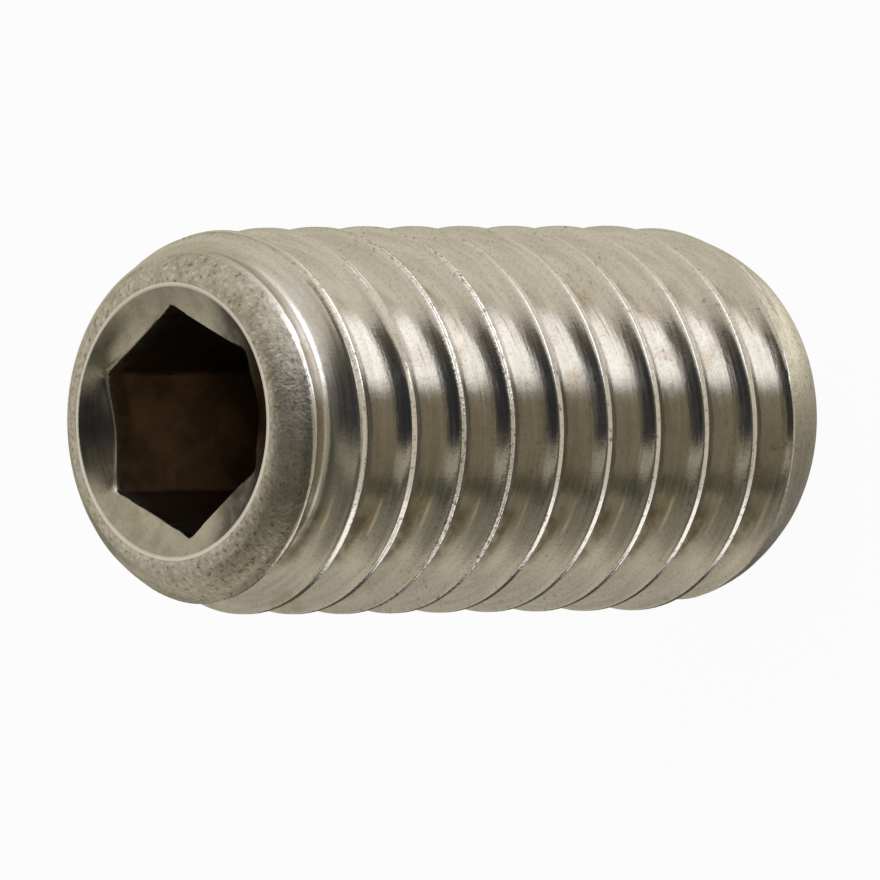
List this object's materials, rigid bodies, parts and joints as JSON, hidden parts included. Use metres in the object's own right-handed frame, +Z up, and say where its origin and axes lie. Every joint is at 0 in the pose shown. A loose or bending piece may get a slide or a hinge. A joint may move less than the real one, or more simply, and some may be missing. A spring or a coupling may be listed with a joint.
{
  "type": "set screw",
  "caption": "Headless set screw with a right-hand metric thread over its whole length, a hex key socket in one end and a chamfered flat point, for locking a part onto a shaft.",
  "frame": {"origin": "centre of the flat point's face, which the screw stands on", "axes": "+Z up the screw's axis, out of the hex socket; +X crosses the thread's groove at the height of the point's face"},
  "size_m": [0.004, 0.004, 0.008],
  "materials": {
    "stainless_steel": "plain stainless steel with rolled threads, bright on the crests and dull on the socket end"
  },
  "bodies": {
    "root": {"set_screw": "stainless_steel"}
  },
  "joints": []
}
